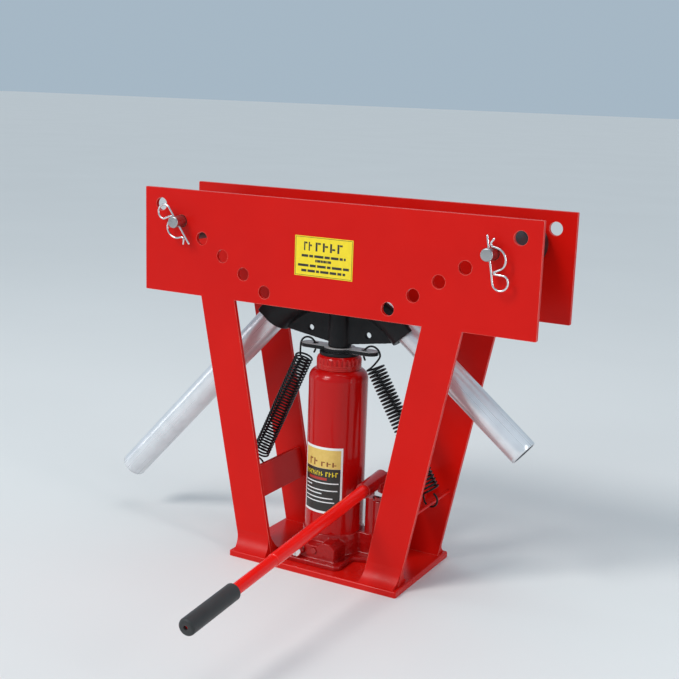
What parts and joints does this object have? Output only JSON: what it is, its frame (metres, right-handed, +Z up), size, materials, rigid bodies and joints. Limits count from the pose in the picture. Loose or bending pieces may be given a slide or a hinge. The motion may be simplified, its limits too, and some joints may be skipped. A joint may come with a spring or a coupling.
{
  "type": "hydraulic pipe bender",
  "caption": "Free-standing pipe bender: a splayed-leg welded frame holds a hand-pumped bottle jack that pushes a curved die and tube up between grooved rollers.",
  "frame": {"origin": "centre of the base plate's underside", "axes": "+X along the beam to the pump side, +Y from the operator's handle side to the back, +Z up"},
  "size_m": [0.7387, 0.5807, 0.556],
  "materials": {
    "frame_red": "gloss enamel",
    "jack_red": "high gloss enamel",
    "cast_red": "gloss enamel over a rough casting",
    "handle_red": "gloss enamel",
    "zinc": "zinc plated",
    "spring_wire": "bright wire",
    "black_spring": "semi-gloss black",
    "black_cast": "satin black",
    "tube_steel": "drawn, bright",
    "ground_steel": "ground",
    "rubber": "matt",
    "yellow_label": "printed film",
    "jack_label": "printed film"
  },
  "bodies": {
    "frame": {"base_plate": "frame_red", "front_side_plate": "frame_red", "rear_side_plate": "frame_red", "left_cross_plate": "frame_red", "right_cross_plate": "frame_red", "left_spring_rod": "frame_red", "right_spring_rod": "frame_red", "foot_welds": "frame_red", "beam_label": "yellow_label", "left_roller_pin": "zinc", "right_roller_pin": "zinc", "left_pin_clip": "spring_wire", "right_pin_clip": "spring_wire", "jack_base": "cast_red", "reservoir": "jack_red", "reservoir_gasket": "rubber", "pressure_cylinder": "ground_steel", "top_nut": "jack_red", "ram_packing": "rubber", "ram_wiper": "rubber", "jack_label": "jack_label", "filler_plug": "rubber", "overload_valve": "zinc", "pump_passage_plug": "zinc", "pump_cylinder": "jack_red", "pump_gland": "zinc", "pump_packing": "rubber", "check_balls": "ground_steel", "fulcrum_links": "zinc", "link_pin": "zinc", "link_pin_ring": "spring_wire", "left_return_spring": "black_spring", "right_return_spring": "black_spring"},
    "ram": {"ram": "ground_steel", "piston": "ground_steel", "piston_cup": "rubber", "piston_cup_screw": "zinc", "saddle": "black_cast", "ear_plate": "zinc", "bending_die": "black_cast", "bent_tube": "tube_steel"},
    "plunger": {"plunger": "ground_steel"},
    "lever": {"handle_socket": "handle_red", "fulcrum_pin": "zinc", "plunger_pin": "zinc", "fulcrum_pin_ring": "spring_wire", "plunger_pin_ring": "spring_wire"},
    "handle": {"handle_rear_bar": "handle_red", "handle_front_bar": "handle_red", "handle_grip": "rubber"},
    "left_roller": {"left_roller": "black_cast"},
    "right_roller": {"right_roller": "black_cast"},
    "release_valve": {"release_valve": "zinc"}
  },
  "joints": [
    {"name": "ram_lift", "type": "slide", "parent": "frame", "child": "ram", "axis": [0, 0, 1], "range_m": [0, 0.198], "deforming": ["left_return_spring", "right_return_spring"]},
    {"name": "lever_pump", "type": "hinge", "parent": "frame", "child": "lever", "pos_m": [0.066, 0.03431, 0.12958], "axis": [-1, 0, 0], "range_deg": [0, 40]},
    {"name": "plunger_stroke", "type": "slide", "parent": "frame", "child": "plunger", "axis": [0, 0, 1], "range_m": [0, 0.0192]},
    {"name": "handle_pull", "type": "slide", "parent": "lever", "child": "handle", "axis": [0, -0.9962, -0.0874], "range_m": [0, 0.045]},
    {"name": "left_roller_spin", "type": "hinge", "parent": "frame", "child": "left_roller", "pos_m": [-0.2522, 0, 0.5078], "axis": [0, 1, 0], "continuous": true},
    {"name": "right_roller_spin", "type": "hinge", "parent": "frame", "child": "right_roller", "pos_m": [0.2522, 0, 0.5078], "axis": [0, 1, 0], "continuous": true},
    {"name": "release_turn", "type": "hinge", "parent": "frame", "child": "release_valve", "pos_m": [-0.032, -0.075, 0.028], "axis": [0, -1, 0], "range_deg": [0, 360]}
  ],
  "couplings": [
    {"joint": "plunger_stroke", "follows": "lever_pump", "m_per_rad": 0.027434}
  ]
}
